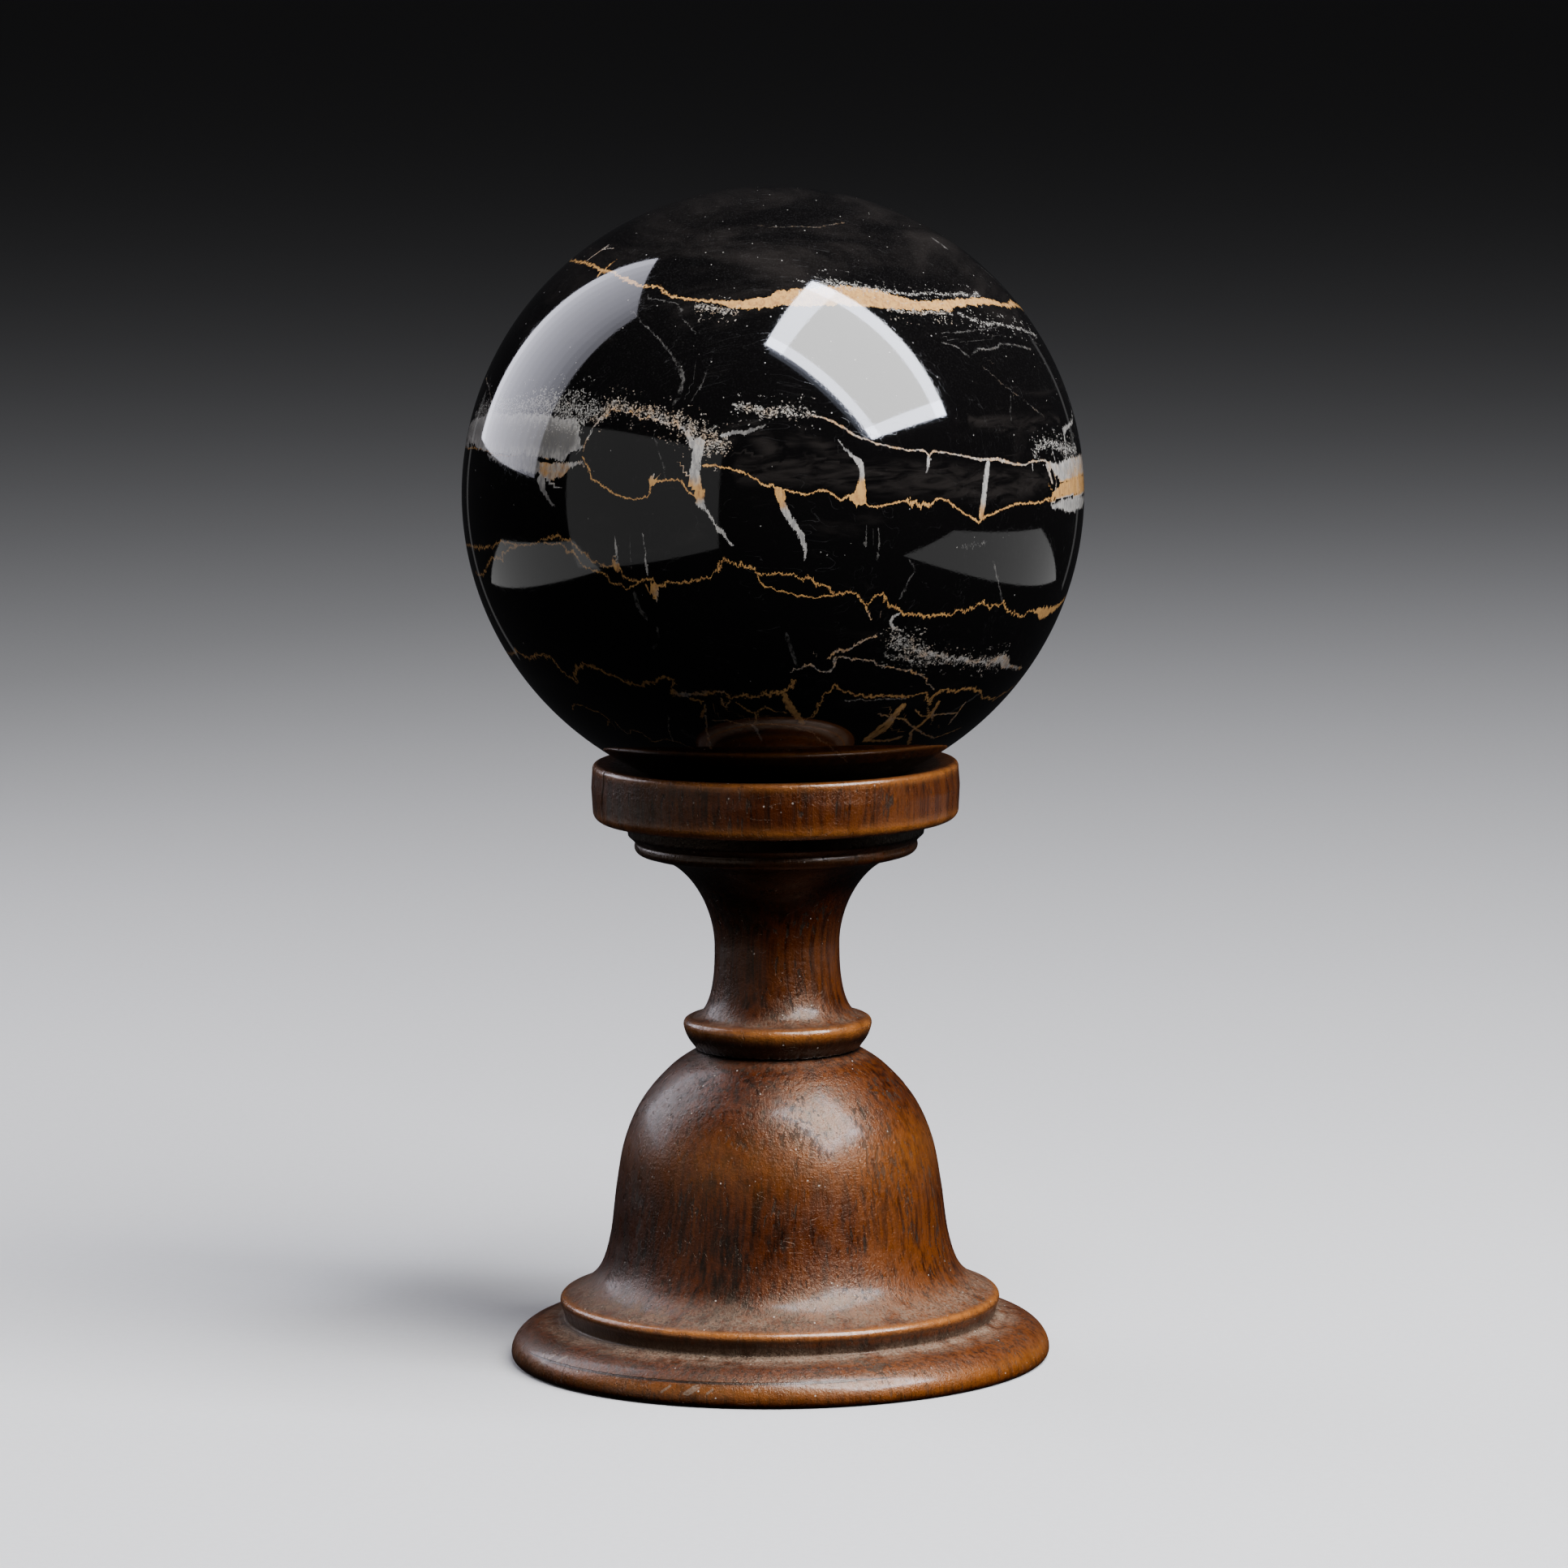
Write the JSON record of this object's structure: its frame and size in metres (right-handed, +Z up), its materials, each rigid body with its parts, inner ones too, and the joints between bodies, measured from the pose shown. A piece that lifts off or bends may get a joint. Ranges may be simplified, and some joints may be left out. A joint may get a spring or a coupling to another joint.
{
  "type": "decorative sphere on stand",
  "caption": "Polished black marble sphere with pale and golden veins, resting in the cup of a turned wooden stand with a waisted stem and a bell-shaped foot.",
  "frame": {"origin": "middle of the foot's underside, on the table", "axes": "+Z up along the stand's turning axis, -Y towards the side with the broken pale veins"},
  "size_m": [0.1204, 0.1204, 0.2288],
  "materials": {
    "foot_wood": "reddish brown hardwood under old shellac, semi-gloss on the worn edges, grey dust in the recesses",
    "cup_wood": "reddish brown hardwood under old shellac, upright grain with dark flecks, one hairline check in the collar",
    "black_marble": "polished black marble with jagged golden, tan and grey-white veins round the equator"
  },
  "bodies": {
    "root": {"bell_foot": "foot_wood", "cup_stem": "cup_wood", "marble_sphere": "black_marble"}
  },
  "joints": []
}
